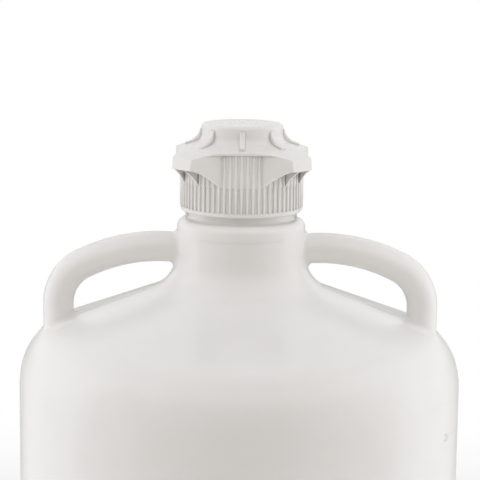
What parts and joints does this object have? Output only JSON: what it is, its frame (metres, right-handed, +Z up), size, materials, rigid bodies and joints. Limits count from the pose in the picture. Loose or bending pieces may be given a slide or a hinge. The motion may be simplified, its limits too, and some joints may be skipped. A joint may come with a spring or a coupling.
{
  "type": "carboy with spigot",
  "caption": "Large hollow plastic laboratory bottle with two moulded handles, a lobed screw closure and a turning spigot near the base.",
  "frame": {"origin": "centre of the base, on the surface that the bottle stands on", "axes": "+Z up along the bottle's axis; -Y is the front, where the spigot is; the handles lie along X"},
  "size_m": [0.474, 0.575, 0.8942],
  "materials": {
    "bottle_plastic": "natural translucent polyethylene, blow moulded, soft satin",
    "cap_plastic": "white polypropylene, injection moulded, satin",
    "seal_rubber": "pale silicone rubber",
    "spigot_plastic": "white polypropylene, injection moulded",
    "plug_plastic": "white polyethylene, injection moulded",
    "ring_rubber": "black rubber",
    "clip_plastic": "white acetal"
  },
  "bodies": {
    "bottle_body": {"bottle": "bottle_plastic", "spigot_body": "spigot_plastic", "spigot_seal": "seal_rubber"},
    "gasket_body": {"cap_gasket": "seal_rubber"},
    "cap_body": {"screw_cap": "cap_plastic"},
    "plug_body": {"spigot_plug": "plug_plastic", "plug_ring_upper": "ring_rubber", "plug_ring_lower": "ring_rubber", "plug_clip": "clip_plastic"}
  },
  "joints": [
    {"name": "cap_lift", "type": "slide", "parent": "bottle_body", "child": "gasket_body", "axis": [0, 0, 1], "range_m": [0, 0.016]},
    {"name": "cap_turn", "type": "hinge", "parent": "gasket_body", "child": "cap_body", "pos_m": [0, 0, 0.868], "axis": [0, 0, 1], "range_deg": [0, 720]},
    {"name": "plug_turn", "type": "hinge", "parent": "bottle_body", "child": "plug_body", "pos_m": [0, -0.291, 0.072], "axis": [0, 0, 1], "range_deg": [0, 90]}
  ],
  "couplings": [
    {"joint": "cap_lift", "follows": "cap_turn", "m_per_rad": 0.0012732}
  ]
}
